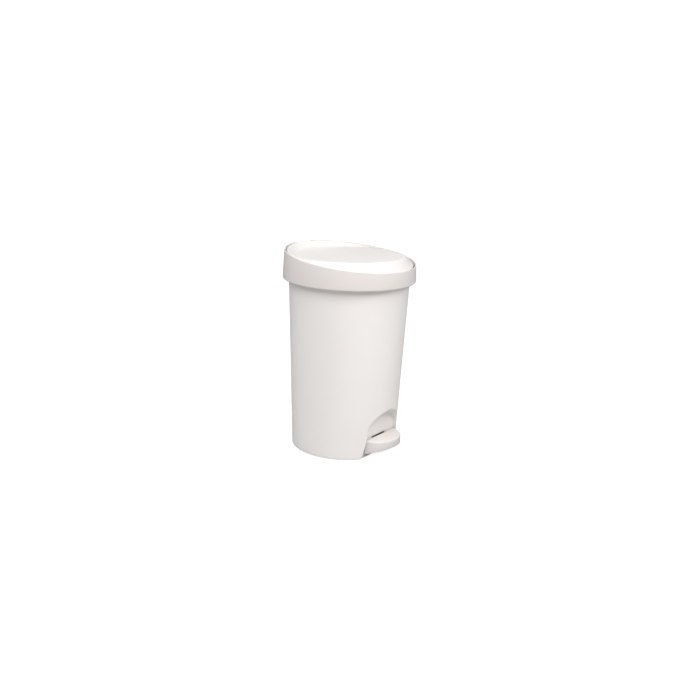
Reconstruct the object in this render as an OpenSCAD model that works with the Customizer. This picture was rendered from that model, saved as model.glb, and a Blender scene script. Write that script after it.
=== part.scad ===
// Round plastic pedal bin: a tapered tub under an overhanging collar whose rim slopes down to
// the front, a dished lid inside the collar, a foot tread in a toe recess, and the lever and
// lift rod that join the two. Front is -Y, left and right are X, and the floor is Z = 0.

/* [Outer body] */
// Outer radius of the body where it meets the floor
body_base_r = 110; // [109.5:0.1:110.5]
// Outward slope of the body wall, in mm per mm of height
body_taper = 0.0392; // [0.038:0.0002:0.04]
// Height of the body's lower edge above the floor
body_bottom_z = 2; // [1.5:0.1:2.5]
// Height of the body's upper edge, inside the collar
body_top_z = 372; // [368:0.5:374]
// Thickness of the moulded walls
wall = 2.5; // [2.2:0.1:2.8]
// Height of the tub floor that the bucket stands on
floor_z = 47; // [46.5:0.1:49]

/* [Collar] */
// Outer radius of the collar above its rounded lower edge
collar_r = 136.8; // [136.4:0.1:137.2]
// Inward slope of the collar wall, in mm per mm of height
collar_taper = 0.05; // [0.045:0.005:0.055]
// Height of the collar's underside
collar_bottom_z = 355.3; // [354.5:0.1:356]
// Radius of the collar's rounded lower edge
collar_round = 3.5; // [3.2:0.1:4]
// Width of the flat rim
rim_w = 2.6; // [2.5:0.1:2.7]
// Height of the sloping rim on the bin's axis
rim_mid_z = 403.5; // [403:0.1:404]
// Rise of the rim towards the back, in mm per mm
rim_slope = 0.1085; // [0.107:0.0005:0.11]
// Radius of the opening in the collar's flange
mouth_r = 113.5; // [113:0.1:114]

/* [Lid] */
// Outer radius of the lid
lid_r = 128.8; // [128.6:0.1:129]
// Depth of the lid's edge below the rim
lid_drop = 1; // [0.8:0.1:1.4]
// Height of the lid's flat centre on the bin's axis
plateau_z = 406.3; // [406:0.1:406.6]
// Fall of the flat centre towards the back, in mm per mm
plateau_tilt = 0.012; // [0.01:0.001:0.014]
// Radius of the flat centre
plateau_r = 112; // [110:0.5:113]
// Depth of the skirt under the lid's edge
skirt_h = 9; // [8:0.5:9.5]
// Wall of the lid
lid_wall = 2.4; // [2.2:0.1:2.6]

/* [Toe recess] */
// Half width of the recess where its arch springs
recess_half_w = 52; // [51.9:0.1:53]
// Height at which the arch springs
arch_spring_z = 65; // [62:1:68]
// Height of the top of the arch
arch_top_z = 98; // [94:1:102]
// Half width of the recess at its foot
recess_foot_w = 62; // [61:0.5:62.5]
// Height at which the recess's back wall starts to curve forward
recess_rise_z = 75; // [70:1:76]
// Distance of the recess's back wall in front of the bin's axis
recess_back = 89; // [88.8:0.1:89.4]

/* [Tread and lever] */
// Half width of the tread
tread_half_w = 51; // [49:0.5:51.5]
// Reach of the tread's curved front past its straight sides
tread_nose = 38; // [36:0.5:39]
// Height of the tread's top
tread_top_z = 40; // [39.5:0.1:40.5]
// Height of the tread's skirt above the floor at the back
tread_bottom_z = 10.5; // [10:0.1:12]
// Height of the tread's skirt above the floor at the nose
tread_nose_z = 23; // [22:0.5:25]
// Distance of the lever's pivot in front of the bin's axis
pivot_front = 50; // [50:0.5:51]
// Height of the lever's pivot
pivot_z = 24; // [23.8:0.1:24.2]
// Radius of the lever's pivot pin
pivot_pin_r = 3; // [2.5:0.1:3.2]

/* [Lift rod] */
// Radius of the rod
rod_r = 2; // [1.8:0.1:2]
// Distance of the rod's lower hook behind the bin's axis
rod_low_y = 103; // [102.8:0.1:103.1]
// Height of the rod's lower hook
rod_low_z = 13; // [12.9:0.1:13.1]
// Distance of the rod's upper hook behind the bin's axis
rod_high_y = 113.5; // [113.4:0.1:113.6]
// Height of the rod's upper hook
rod_high_z = 398.5; // [398.4:0.1:398.6]

/* [Lid hinge] */
// Distance of the hinge pin behind the bin's axis
hinge_y = 131; // [130.9:0.1:131.1]
// Height of the hinge pin
hinge_z = 413.5; // [413.4:0.1:413.6]
// Radius of the hinge barrels
barrel_r = 4.2; // [4:0.1:4.2]
// Radius of the hinge pin
hinge_pin_r = 1.6; // [1.4:0.1:1.8]
// Half width of the lid's knuckle
knuckle_half_w = 14; // [13:0.5:14]

/* [Bucket] */
// Outer radius of the bucket's foot
bucket_foot_r = 80; // [76:0.5:80]
// Outer radius of the bucket's wall under its rim
bucket_top_r = 104; // [100:0.5:104]
// Outer radius of the bucket's rolled rim
bucket_rim_r = 109; // [107:0.5:109]
// Height of the bucket's rim
bucket_top_z = 350; // [330:1:350]
// Wall of the bucket
bucket_wall = 2; // [1.6:0.1:2.4]

/* [Hidden] */

round_fn = 180;
hole_fn = 48;
white = "#f3efec";
grey_plastic = "#8e9194";
steel = "#b9bcc0";
black_rubber = "#2c2c2e";

fit = 0.05;             // radial clearance of a running fit
touch = 0.02;           // radial clearance of a seated pin
arc_step = 9;           // degrees between the points of a profile's arc

// Sides of the toe recess
flare_power = 2.2;
flare_steps = 8;
arch_power = 1.14;

// Base plate and what stands under it
plate_z = 3;
plate_h = 3;
plate_r = 106.8;
foot_r = 9;
foot_sites = [[72, -62], [-72, -62], [60, 74], [-60, 74]];
base_screw_sites = [[92, 0], [-92, 0], [30, 92], [-30, 92]];
base_screw_r = 1.75;
base_head_r = 3.5;
base_boss_r = 5;
stop_pad_h = 3.1;

// Collar fixings
collar_screw_r = 1.6;
collar_boss_r = 4.5;
collar_boss_at = 118.2;
collar_screw_angles = [45, 135, 225, 315];
flange_h = 2.5;
flange_z = body_top_z;
tongue_half_w = 10;
tongue_front = 106.8;

// Bushes that guide the rod
bush_r = 4;
bush_hole_r = bush_r + fit;
bush_flange_r = 6.5;
bush_flange_h = 2;

// Lever
lug_in = 14;
lug_w = 4;
lug_r = 8;
hub_r = 8;
hub_half_w = lug_in - 0.5;
lever_half_w = 10;
fork_half_gap = 3.5;
lever_slot_half = 23.5;
lever_slot_z = 8;
lever_slot_h = 33.3;
lever_plate_z = 22;
lever_plate_h = 7;
lever_front_half_w = 20;
lever_front_y = 118;
lever_tail_r = 107.5;
tread_screw_sites = [[12, -106], [-12, -106]];
tread_screw_r = 1.6;
tread_side_y = -95;
tread_back_y = -91.5;

// Lid hinge and crank
lug_gap = 0.4;
lug_out = 22;
notch_half_w = 29;
notch_z = 408.6;
pin_half_l = 24.3;
cap_w = 2.1;
cap_r = 2.9;
crank_x = 4;
crank_w = 4;
crank_pad_z = 401.9;
crank_screw_sites = [[12, 97], [-12, 97]];
crank_screw_r = 1.4;
bumper_r = 2.6;
bumper_angles = [-115, -65];

rod_tilt = atan((rod_high_y - rod_low_y) / (rod_high_z - rod_low_z));
rod_hook_l = 12.5;

function body_r(z) = body_base_r + body_taper * z;
function collar_wall_r(z) = collar_r - collar_taper * (z - collar_bottom_z - collar_round);
function rim_z(y) = rim_mid_z + rim_slope * y;
function rod_y(z) = rod_low_y + (z - rod_low_z) * tan(rod_tilt);
function arc(cx, cz, r, from, to) =
    let (n = ceil(abs(to - from) / arc_step))
    [for (i = [0:n]) let (a = from + (to - from) * i / n) [cx + r * cos(a), cz + r * sin(a)]];

// Extrudes a side profile, given as [y, z] points, along X
module side_extrude(half_w) {
    translate([-half_w, 0, 0])
        rotate([90, 0, 90])
            linear_extrude(height = 2 * half_w)
                children();
}

module x_cylinder(r, x0, x1, y, z, fn = hole_fn) {
    translate([x0, y, z])
        rotate([0, 90, 0])
            cylinder(r = r, h = x1 - x0, $fn = fn);
}

module pan_screw(r, head_r, head_h, length) {
    translate([0, 0, -length])
        cylinder(r = r, h = length + head_h / 2, $fn = hole_fn);
    difference() {
        cylinder(r = head_r, h = head_h, $fn = hole_fn);
        for (turn = [0, 90])
            rotate([0, 0, turn])
                translate([-head_r * 0.6, -0.4, head_h * 0.55])
                    cube([head_r * 1.2, 0.8, head_h]);
    }
}

// ---- Outer body ---------------------------------------------------------------------

// Half the recess's width under the arch, with sides that flare more and more towards the foot
function recess_w(z) =
    recess_half_w + (recess_foot_w - recess_half_w)
        * pow((arch_spring_z - z) / (arch_spring_z - body_bottom_z), flare_power);

function arch_outline(t) = concat(
    [[recess_foot_w + t, -20]],
    [for (i = [0:flare_steps - 1])
        let (z = body_bottom_z + (arch_spring_z - body_bottom_z) * i / flare_steps)
        [recess_w(z) + t, z]],
    [for (a = [0:7.5:180])
        [
            (recess_half_w + t) * sign(cos(a)) * pow(abs(cos(a)), arch_power),
            arch_spring_z + (arch_top_z - arch_spring_z + t) * pow(abs(sin(a)), arch_power)
        ]],
    [for (i = [flare_steps - 1:-1:0])
        let (z = body_bottom_z + (arch_spring_z - body_bottom_z) * i / flare_steps)
        [-recess_w(z) - t, z]],
    [[-recess_foot_w - t, -20]]);

// The recess's back wall rises straight and then curves forward to meet the body at the arch
function scoop_outline(t) = let (
        rise_z = recess_rise_z,
        forward = body_r(arch_top_z) - recess_back)
    concat(
        [[-170, -20], [-recess_back + t, -20]],
        [for (a = [0:7.5:90])
            [-recess_back + t - forward * (1 - cos(a)), rise_z + (arch_top_z - rise_z + t) * sin(a)]],
        [[-170, arch_top_z + t]]);

module recess_space(t) {
    intersection() {
        rotate([90, 0, 0])
            linear_extrude(height = 170)
                polygon(arch_outline(t));
        side_extrude(100)
            polygon(scoop_outline(t));
    }
}

module body_envelope() {
    rotate_extrude($fn = round_fn)
        polygon([
            [0, body_bottom_z], [body_r(body_bottom_z), body_bottom_z],
            [body_r(body_top_z), body_top_z], [0, body_top_z]
        ]);
}

module outer_body() {
    color(white)
    difference() {
        union() {
            difference() {
                rotate_extrude($fn = round_fn)
                    polygon([
                        [body_r(body_bottom_z) - wall, body_bottom_z],
                        [body_r(body_bottom_z), body_bottom_z],
                        [body_r(body_top_z), body_top_z],
                        [body_r(body_top_z) - wall, body_top_z],
                        [body_r(floor_z) - wall, floor_z],
                        [0, floor_z],
                        [0, floor_z - wall],
                        [body_r(floor_z - wall) - wall, floor_z - wall]
                    ]);
                recess_space(0);
            }
            intersection() {
                difference() {
                    recess_space(wall);
                    recess_space(0);
                }
                body_envelope();
            }
            for (site = base_screw_sites)
                translate([site[0], site[1], plate_z + plate_h])
                    cylinder(r = base_boss_r, h = floor_z - wall - plate_z - plate_h + 1, $fn = hole_fn);
            intersection() {
                for (angle = collar_screw_angles)
                    rotate([0, 0, angle])
                        translate([collar_boss_at, 0, body_top_z - 20])
                            cylinder(r = collar_boss_r, h = 20, $fn = hole_fn);
                body_envelope();
            }
        }
        translate([-lever_slot_half, -recess_back - 2, lever_slot_z])
            cube([2 * lever_slot_half, wall + 4, lever_slot_h]);
        translate([0, rod_y(floor_z), floor_z - 10])
            cylinder(r = bush_hole_r, h = 20, $fn = hole_fn);
        for (site = base_screw_sites)
            translate([site[0], site[1], plate_z])
                cylinder(r = base_screw_r + fit, h = 19, $fn = hole_fn);
        for (angle = collar_screw_angles)
            rotate([0, 0, angle])
                translate([collar_boss_at, 0, body_top_z - 16])
                    cylinder(r = collar_screw_r + fit, h = 20, $fn = hole_fn);
    }
}

// ---- Collar -------------------------------------------------------------------------

function collar_profile() = let (
        cx = collar_r - collar_round,
        cz = collar_bottom_z + collar_round,
        skin = 2.6,
        top = 430)
    concat(
        [[body_r(collar_bottom_z) + 0.6, collar_bottom_z]],
        arc(cx, cz, collar_round, -90, 0),
        [[collar_wall_r(top), top], [collar_wall_r(top) - rim_w, top]],
        [[collar_wall_r(flange_z + flange_h) - rim_w, flange_z + flange_h]],
        [[mouth_r, flange_z + flange_h], [mouth_r, flange_z]],
        [[collar_wall_r(flange_z) - skin, flange_z]],
        arc(cx, cz, collar_round - skin, 0, -90),
        [[body_r(collar_bottom_z) + 0.6, collar_bottom_z + skin]]);

module above_rim(lift = 0) {
    translate([0, 0, rim_mid_z + lift])
        rotate([atan(rim_slope), 0, 0])
            translate([-200, -200, 0])
                cube([400, 400, 80]);
}

module collar() {
    color(white)
    difference() {
        union() {
            difference() {
                rotate_extrude($fn = round_fn)
                    polygon(collar_profile());
                above_rim();
                translate([-notch_half_w, hinge_y - 8, notch_z])
                    cube([2 * notch_half_w, 20, 40]);
            }
            for (side = [-1, 1])
                translate([side * (knuckle_half_w + lug_gap + lug_out) / 2, 0, 0])
                    collar_lug((lug_out - knuckle_half_w - lug_gap) / 2);
            translate([-tongue_half_w, tongue_front, flange_z])
                cube([2 * tongue_half_w, mouth_r + 4 - tongue_front, flange_h]);
        }
        x_cylinder(hinge_pin_r + touch, -lug_out - 1, lug_out + 1, hinge_y, hinge_z);
        translate([0, rod_y(flange_z + flange_h), flange_z - 1])
            cylinder(r = bush_hole_r, h = flange_h + 2, $fn = hole_fn);
        for (angle = collar_screw_angles)
            rotate([0, 0, angle])
                translate([collar_boss_at, 0, flange_z - 1])
                    cylinder(r = collar_screw_r + 0.3, h = flange_h + 2, $fn = hole_fn);
    }
}

module collar_lug(half_w) {
    x_cylinder(barrel_r, -half_w, half_w, hinge_y, hinge_z);
    translate([-half_w, hinge_y - 0.6, notch_z - 4])
        cube([2 * half_w, 3, hinge_z - notch_z + 4]);
}

module collar_screws() {
    color(steel)
    for (angle = collar_screw_angles)
        rotate([0, 0, angle])
            translate([collar_boss_at, 0, flange_z + flange_h])
                pan_screw(collar_screw_r, 3.2, 1.9, 15);
}

// ---- Base ---------------------------------------------------------------------------

module base_plate() {
    color(grey_plastic)
    difference() {
        union() {
            difference() {
                translate([0, 0, plate_z])
                    cylinder(r = plate_r, h = plate_h, $fn = round_fn);
                translate([-recess_foot_w - 4, -plate_r - 10, 0])
                    cube([2 * recess_foot_w + 8, plate_r + 10 - recess_back + wall + 1, 10]);
            }
            for (side = [-1, 1])
                pivot_lug(side);
        }
        x_cylinder(pivot_pin_r + touch, -lug_in - lug_w - 1, lug_in + lug_w + 1, -pivot_front, pivot_z);
        for (site = base_screw_sites)
            translate([site[0], site[1], plate_z - 1])
                cylinder(r = base_screw_r + 0.3, h = plate_h + 2, $fn = hole_fn);
        for (site = base_screw_sites)
            translate([site[0], site[1], plate_z - 0.01])
                cylinder(r1 = base_head_r + 0.2, r2 = base_screw_r + 0.2, h = 2, $fn = hole_fn);
    }
}

module pivot_lug(side) {
    low = side > 0 ? lug_in : -lug_in - lug_w;
    x_cylinder(lug_r, low, low + lug_w, -pivot_front, pivot_z);
    translate([low, -pivot_front - lug_r, plate_z + plate_h - 1])
        cube([lug_w, 2 * lug_r, pivot_z - plate_z - plate_h + 1]);
}

module base_screws() {
    color(steel)
    for (site = base_screw_sites)
        translate([site[0], site[1], plate_z + 0.15]) {
            cylinder(r1 = base_head_r, r2 = base_screw_r, h = 1.8, $fn = hole_fn);
            cylinder(r = base_screw_r, h = 16, $fn = hole_fn);
        }
}

module rubber_feet() {
    color(black_rubber)
    for (site = foot_sites)
        translate([site[0], site[1], 0])
            cylinder(r1 = foot_r - 0.6, r2 = foot_r, h = plate_z, $fn = hole_fn);
}

module lever_stop_pad() {
    color(black_rubber)
    translate([0, 84, plate_z + plate_h])
        cylinder(r = 8, h = stop_pad_h, $fn = hole_fn);
}

module lever_pin() {
    color(steel)
    x_cylinder(pivot_pin_r, -lug_in - lug_w - 3, lug_in + lug_w + 3, -pivot_front, pivot_z);
}

module lever_pin_clips() {
    color(steel)
    for (side = [-1, 1])
        difference() {
            x_cylinder(5.5, side * (lug_in + lug_w + 1.2) - 0.6, side * (lug_in + lug_w + 1.2) + 0.6,
                -pivot_front, pivot_z);
            x_cylinder(pivot_pin_r + touch, -30, 30, -pivot_front, pivot_z);
            translate([-30, -pivot_front - 1.6, pivot_z])
                cube([60, 3.2, 10]);
        }
}

// ---- Rod guides ---------------------------------------------------------------------

// Flanged bush seated in a hole, bored along the rod's slope
module rod_bush(seat_z, below, above) {
    difference() {
        translate([0, rod_y(seat_z), seat_z]) {
            translate([0, 0, -below])
                cylinder(r = bush_r, h = below + above, $fn = hole_fn);
            cylinder(r = bush_flange_r, h = bush_flange_h, $fn = hole_fn);
        }
        translate([0, rod_low_y, rod_low_z])
            rotate([-rod_tilt, 0, 0])
                cylinder(r = rod_r + fit, h = 420, $fn = hole_fn);
    }
}

module rod_guide_lower() {
    color(grey_plastic)
    difference() {
        rod_bush(floor_z, 2.5, 8);
        translate([-10, body_r(floor_z) - wall - 0.25, floor_z - 1])
            cube([20, 20, 20]);
    }
}

module rod_guide_upper() {
    color(grey_plastic)
    difference() {
        rod_bush(flange_z + flange_h, 7, bush_flange_h);
        translate([-10, tongue_front + 12.1, flange_z])
            cube([20, 20, 10]);
    }
}

// ---- Lid hinge ----------------------------------------------------------------------

module hinge_pin() {
    color(steel)
    x_cylinder(hinge_pin_r, -pin_half_l, pin_half_l, hinge_y, hinge_z);
}

module hinge_pin_caps() {
    color(white)
    for (side = [-1, 1])
        translate([side * (lug_out + 0.1 + cap_w / 2), 0, 0])
            difference() {
                x_cylinder(cap_r, -cap_w / 2, cap_w / 2, hinge_y, hinge_z);
                x_cylinder(hinge_pin_r + touch, -cap_w, cap_w, hinge_y, hinge_z);
            }
}

// Soft studs on the collar's flange that the lid's skirt comes down on
module lid_bumpers() {
    color(grey_plastic)
    for (angle = bumper_angles)
        rotate([0, 0, angle])
            translate([lid_r - 1.1, 0, flange_z + flange_h])
                cylinder(r = bumper_r, h = skirt_bottom_z(angle) - flange_z - flange_h - 0.7, $fn = hole_fn);
}

// ---- Lid ----------------------------------------------------------------------------

lid_fn = 96;
wall_steps = 9;
edge_in = 1.2;

function edge_z(angle) = rim_z(lid_r * sin(angle)) - lid_drop;
function skirt_bottom_z(angle) = edge_z(angle) - skirt_h;
function plateau_at(r, angle) = plateau_z - plateau_tilt * r * sin(angle);
function ease(s) = 0.55 * (1 - cos(180 * s)) / 2 + 0.45 * s;
function dish_z(r, angle) =
    let (s = min(1, max(0, (r - plateau_r) / (lid_r - edge_in - plateau_r))))
    plateau_at(r, angle) + (edge_z(angle) - plateau_at(r, angle)) * ease(s);

wall_r = [for (i = [0:wall_steps]) plateau_r + (lid_r - edge_in - plateau_r) * i / wall_steps];
under_r = [for (i = [0:wall_steps - 2]) plateau_r + (lid_r - lid_wall - plateau_r) * i / (wall_steps - 2)];

// One cut through the lid at an angle, from the top centre round the skirt to the bottom centre
function lid_section(angle) = concat(
    [for (r = wall_r) [r, dish_z(r, angle)]],
    [[lid_r, edge_z(angle) - edge_in], [lid_r, skirt_bottom_z(angle)]],
    [[lid_r - lid_wall + 0.2, skirt_bottom_z(angle)]],
    [for (i = [wall_steps - 2:-1:0]) [under_r[i], dish_z(under_r[i], angle) - lid_wall]]);

module lid_skin() {
    rows = len(lid_section(0));
    rings = [for (j = [0:lid_fn - 1])
        let (angle = j * 360 / lid_fn)
        for (p = lid_section(angle)) [p[0] * cos(angle), p[0] * sin(angle), p[1]]];
    top = len(rings);
    points = concat(rings, [[0, 0, plateau_z], [0, 0, plateau_z - lid_wall]]);
    faces = concat(
        [for (j = [0:lid_fn - 1], i = [0:rows - 2])
            let (a = j * rows + i, b = ((j + 1) % lid_fn) * rows + i)
            [a, a + 1, b]],
        [for (j = [0:lid_fn - 1], i = [0:rows - 2])
            let (a = j * rows + i, b = ((j + 1) % lid_fn) * rows + i)
            [a + 1, b + 1, b]],
        [for (j = [0:lid_fn - 1]) [top, j * rows, ((j + 1) % lid_fn) * rows]],
        [for (j = [0:lid_fn - 1])
            [top + 1, ((j + 1) % lid_fn) * rows + rows - 1, j * rows + rows - 1]]);
    polyhedron(points = points, faces = [for (f = faces) [f[2], f[1], f[0]]], convexity = 8);
}

module lid_shell() {
    color(white)
    difference() {
        union() {
            lid_skin();
            x_cylinder(barrel_r, -knuckle_half_w, knuckle_half_w, hinge_y, hinge_z);
            translate([-knuckle_half_w, hinge_y - 5, hinge_z - 3])
                cube([2 * knuckle_half_w, 5, 5.6]);
            for (site = crank_screw_sites)
                translate([site[0], site[1], crank_pad_z])
                    cylinder(r = 4.5, h = 2, $fn = hole_fn);
        }
        x_cylinder(hinge_pin_r + fit, -knuckle_half_w - 1, knuckle_half_w + 1, hinge_y, hinge_z);
        for (side = [-1, 1])
            lug_relief(side);
        for (site = crank_screw_sites)
            translate([site[0], site[1], crank_pad_z - 1])
                cylinder(r = crank_screw_r + fit, h = 3, $fn = hole_fn);
    }
}

// Room in the lid's skirt for one of the collar's lugs
module lug_relief(side) {
    low = side > 0 ? knuckle_half_w : -lug_out - 2 * lug_gap;
    x_cylinder(barrel_r + lug_gap, low, low + lug_out + 2 * lug_gap - knuckle_half_w, hinge_y, hinge_z);
}

// Bracket under the lid with the slot that the rod's upper hook works in
module crank_bracket() {
    slot_a = [rod_high_y + 0.1, rod_high_z - 0.4];
    slot_b = [rod_high_y + 6.6, rod_high_z + 1.8];
    slot_r = rod_r + 0.85;
    slot_turn = atan2(slot_b[1] - slot_a[1], slot_b[0] - slot_a[0]);
    color(grey_plastic)
    difference() {
        union() {
            translate([-17, 91, crank_pad_z - 2])
                cube([34, 14, 2]);
            translate([crank_x + crank_w / 2, 0, 0])
                side_extrude(crank_w / 2)
                    polygon([
                        [93, 399.9], [93, 401.9], [112, 402.1], [117, 404.4], [125, 405.6],
                        [125.4, 397], [119, 393.2], [109, 392.4], [106, 396]
                    ]);
        }
        translate([crank_x + crank_w / 2, 0, 0])
            side_extrude(crank_w)
                polygon(concat(
                    arc(slot_a[0], slot_a[1], slot_r, slot_turn + 90, slot_turn + 270),
                    arc(slot_b[0], slot_b[1], slot_r, slot_turn - 90, slot_turn + 90)));
        for (site = crank_screw_sites)
            translate([site[0], site[1], crank_pad_z - 5])
                cylinder(r = crank_screw_r + 0.3, h = 10, $fn = hole_fn);
    }
}

module crank_screws() {
    color(steel)
    for (site = crank_screw_sites)
        translate([site[0], site[1], crank_pad_z - 2])
            rotate([180, 0, 0])
                pan_screw(crank_screw_r, 2.8, 1.6, 3.8);
}

// ---- Lever and tread ----------------------------------------------------------------

module lever_arm() {
    color(grey_plastic)
    difference() {
        union() {
            x_cylinder(hub_r, -hub_half_w, hub_half_w, -pivot_front, pivot_z);
            intersection() {
                side_extrude(lever_half_w)
                    polygon([
                        [-pivot_front, 19], [-pivot_front, 29], [rod_low_y, 17.8],
                        [rod_low_y + 5.2, 15.5], [rod_low_y + 5.2, 10.5], [rod_low_y + 3, 8.9],
                        [rod_low_y - 25, 9.6]
                    ]);
                cylinder(r = lever_tail_r, h = 60, $fn = round_fn);
            }
            translate([0, 0, lever_plate_z])
                linear_extrude(height = lever_plate_h)
                    polygon([
                        [lever_half_w, -pivot_front], [lever_half_w, -recess_back + 4],
                        [lever_front_half_w, -recess_back - 6], [lever_front_half_w, -lever_front_y],
                        [-lever_front_half_w, -lever_front_y], [-lever_front_half_w, -recess_back - 6],
                        [-lever_half_w, -recess_back + 4], [-lever_half_w, -pivot_front]
                    ]);
        }
        x_cylinder(pivot_pin_r + fit, -20, 20, -pivot_front, pivot_z);
        translate([-fork_half_gap, rod_low_y - 12, 0])
            cube([2 * fork_half_gap, 30, 40]);
        for (shift = [-0.8, 0.8])
            x_cylinder(rod_r + 0.4, 0, 20, rod_low_y + shift, rod_low_z);
        translate([0, rod_low_y - 0.8, rod_low_z - rod_r - 0.4])
            cube([20, 1.6, 2 * rod_r + 0.8]);
        for (site = tread_screw_sites)
            translate([site[0], site[1], lever_plate_z - 1])
                cylinder(r = tread_screw_r + 0.3, h = lever_plate_h + 2, $fn = hole_fn);
    }
}

function tread_outline(inset) = concat(
    [[tread_half_w - inset, tread_back_y - inset]],
    [for (a = [0:-5:-180])
        [(tread_half_w - inset) * cos(a), tread_side_y + (tread_nose - inset) * sin(a)]],
    [[-tread_half_w + inset, tread_back_y - inset]]);

// Height of the skirt's lower edge, which rises towards the nose
function tread_low_z(y) =
    tread_bottom_z
        + (tread_nose_z - tread_bottom_z) * (tread_back_y - y)
            / (tread_back_y - tread_side_y + tread_nose);

// The space below the slanting lower edge of the skirt
module below_skirt() {
    side_extrude(tread_half_w + 10)
        polygon([
            [tread_back_y + 10, 0], [tread_back_y + 10, tread_low_z(tread_back_y + 10)],
            [-140, tread_low_z(-140)], [-140, 0]
        ]);
}

module pedal_tread() {
    skin = 2.6;
    inside_z = tread_top_z - skin;
    lever_top_z = lever_plate_z + lever_plate_h;
    color(white)
    difference() {
        union() {
            difference() {
                translate([0, 0, tread_bottom_z])
                    linear_extrude(height = tread_top_z - tread_bottom_z)
                        polygon(tread_outline(0));
                translate([0, 0, tread_bottom_z - 1])
                    linear_extrude(height = inside_z - tread_bottom_z + 1)
                        polygon(tread_outline(skin));
                translate([-lever_front_half_w - 1, tread_back_y - 5, tread_bottom_z - 1])
                    cube([2 * lever_front_half_w + 2, 10, lever_top_z - tread_bottom_z + 2.5]);
                below_skirt();
            }
            for (site = tread_screw_sites)
                translate([site[0], site[1], lever_top_z])
                    cylinder(r = 4.5, h = inside_z - lever_top_z + 1, $fn = hole_fn);
        }
        for (site = tread_screw_sites)
            translate([site[0], site[1], lever_plate_z])
                cylinder(r = tread_screw_r + fit, h = 14, $fn = hole_fn);
    }
}

module tread_screws() {
    color(steel)
    for (site = tread_screw_sites)
        translate([site[0], site[1], lever_plate_z])
            rotate([180, 0, 0])
                pan_screw(tread_screw_r, 3.2, 1.9, 13);
}

// ---- Lift rod -----------------------------------------------------------------------

module lift_rod() {
    length = norm([rod_high_y - rod_low_y, rod_high_z - rod_low_z]);
    color(steel)
    translate([0, rod_low_y, rod_low_z])
        rotate([-rod_tilt, 0, 0]) {
            cylinder(r = rod_r, h = length, $fn = hole_fn);
            for (z = [0, length]) {
                translate([0, 0, z])
                    sphere(r = rod_r, $fn = hole_fn);
                translate([0, 0, z])
                    rotate([0, 90, 0])
                        cylinder(r = rod_r, h = rod_hook_l, $fn = hole_fn);
            }
        }
}

module rod_clips() {
    color(steel) {
        rod_clip(rod_low_y, rod_low_z, lever_half_w + 0.5);
        rod_clip(rod_high_y, rod_high_z, crank_x + crank_w + 0.6);
    }
}

module rod_clip(y, z, x) {
    difference() {
        x_cylinder(3.4, x, x + 1.2, y, z);
        x_cylinder(rod_r + touch, x - 1, x + 3, y, z);
    }
}

// ---- Bucket -------------------------------------------------------------------------

bucket_y = -3;

module inner_bucket() {
    foot = bucket_foot_r;
    top = bucket_top_r;
    t = bucket_wall;
    color(grey_plastic)
    translate([0, bucket_y, 0])
        rotate_extrude($fn = round_fn)
            polygon([
                [0, floor_z + 1.5], [foot - 8, floor_z + 1.5], [foot - 7, floor_z],
                [foot, floor_z], [top, bucket_top_z - t],
                [bucket_rim_r - t, bucket_top_z - t], [bucket_rim_r - t, bucket_top_z - 9],
                [bucket_rim_r, bucket_top_z - 9], [bucket_rim_r, bucket_top_z],
                [top - t, bucket_top_z], [foot - t, floor_z + 1.5 + t], [0, floor_z + 1.5 + t]
            ]);
}

outer_body();
collar();
collar_screws();
base_plate();
base_screws();
rubber_feet();
lever_stop_pad();
lever_pin();
lever_pin_clips();
rod_guide_lower();
rod_guide_upper();
hinge_pin();
hinge_pin_caps();
lid_bumpers();
inner_bucket();
lever_arm();
pedal_tread();
tread_screws();
lift_rod();
rod_clips();
lid_shell();
crank_bracket();
crank_screws();
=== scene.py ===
"""Looks of a round pedal bin: shells, works, finishes, studio and camera around its CAD frame."""

import logging
import math
from collections.abc import Callable, Sequence
from dataclasses import dataclass
from enum import Enum

import bmesh
import bpy
import numpy as np
from mathutils import Matrix, Vector


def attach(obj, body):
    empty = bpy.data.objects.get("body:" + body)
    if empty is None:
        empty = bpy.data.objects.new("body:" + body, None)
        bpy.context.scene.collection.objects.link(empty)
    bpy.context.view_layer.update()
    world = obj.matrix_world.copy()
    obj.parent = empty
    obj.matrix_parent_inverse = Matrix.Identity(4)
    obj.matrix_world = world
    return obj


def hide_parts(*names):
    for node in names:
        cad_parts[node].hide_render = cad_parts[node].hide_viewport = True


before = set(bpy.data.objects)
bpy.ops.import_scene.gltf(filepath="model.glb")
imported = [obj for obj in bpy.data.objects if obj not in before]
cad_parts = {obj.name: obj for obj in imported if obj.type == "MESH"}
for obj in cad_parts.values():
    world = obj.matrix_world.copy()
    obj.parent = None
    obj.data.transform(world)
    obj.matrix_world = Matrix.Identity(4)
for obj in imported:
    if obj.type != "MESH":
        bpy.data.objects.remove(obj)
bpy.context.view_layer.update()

log = logging.getLogger("pedal_bin")

MM = 0.001
SMOOTH_ANGLE = math.radians(38)
MERGE_MM = 0.004

Colour = tuple[float, float, float]


# ---- Points and meshes ---------------------------------------------------------------


@dataclass(frozen=True)
class Corner:
    """A corner of an outline in millimetres, with the radius that rounds it."""

    a: float
    b: float
    radius: float = 0.0
    steps: int = 5


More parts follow.
